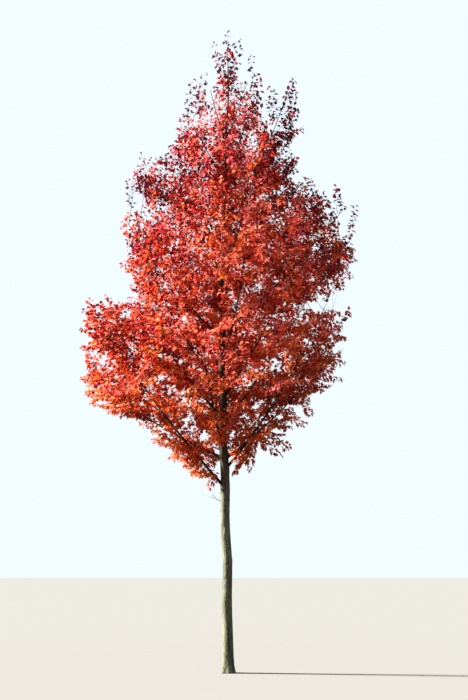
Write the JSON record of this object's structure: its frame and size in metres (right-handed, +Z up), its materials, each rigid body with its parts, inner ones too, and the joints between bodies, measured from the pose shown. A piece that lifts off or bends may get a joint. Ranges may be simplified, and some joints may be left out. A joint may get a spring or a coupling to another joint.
{
  "type": "red maple tree",
  "caption": "Whole young tree in red autumn leaf: a clear straight trunk with a flared foot, steep boughs and an upright, pointed crown.",
  "frame": {"origin": "centre of the flat cut under the trunk, at ground level", "axes": "+Z up along the trunk, +X to the right and -Y towards the viewer of the picture"},
  "size_m": [4.0617, 3.9985, 9.2488],
  "materials": {
    "trunk_bark": "smooth grey-brown young bark, matt, with fine cracks, small knots and swellings",
    "bough_bark": "smooth darker grey-brown bark of boughs and twigs, matt",
    "red_leaves": "thin autumn leaves, scarlet to dark crimson, slightly glossy above, letting light through"
  },
  "bodies": {
    "root": {"bough_00": "bough_bark", "bough_01": "bough_bark", "bough_02": "bough_bark", "bough_03": "bough_bark", "bough_04": "bough_bark", "bough_05": "bough_bark", "bough_06": "bough_bark", "bough_07": "bough_bark", "bough_08": "bough_bark", "bough_09": "bough_bark", "bough_10": "bough_bark", "bough_11": "bough_bark", "bough_12": "bough_bark", "bough_13": "bough_bark", "bough_14": "bough_bark", "bough_15": "bough_bark", "bough_16": "bough_bark", "bough_17": "bough_bark", "bough_18": "bough_bark", "bough_19": "bough_bark", "bough_20": "bough_bark", "bough_21": "bough_bark", "foliage_00": "red_leaves", "foliage_01": "red_leaves", "foliage_02": "red_leaves", "foliage_03": "red_leaves", "foliage_04": "red_leaves", "foliage_05": "red_leaves", "foliage_06": "red_leaves", "foliage_07": "red_leaves", "foliage_08": "red_leaves", "foliage_09": "red_leaves", "foliage_10": "red_leaves", "foliage_11": "red_leaves", "foliage_12": "red_leaves", "foliage_13": "red_leaves", "foliage_14": "red_leaves", "foliage_15": "red_leaves", "foliage_16": "red_leaves", "foliage_17": "red_leaves", "foliage_18": "red_leaves", "foliage_19": "red_leaves", "foliage_20": "red_leaves", "foliage_21": "red_leaves", "foliage_22": "red_leaves", "foliage_23": "red_leaves", "foliage_24": "red_leaves", "foliage_25": "red_leaves", "foliage_leader": "red_leaves", "trunk": "trunk_bark"}
  },
  "joints": []
}
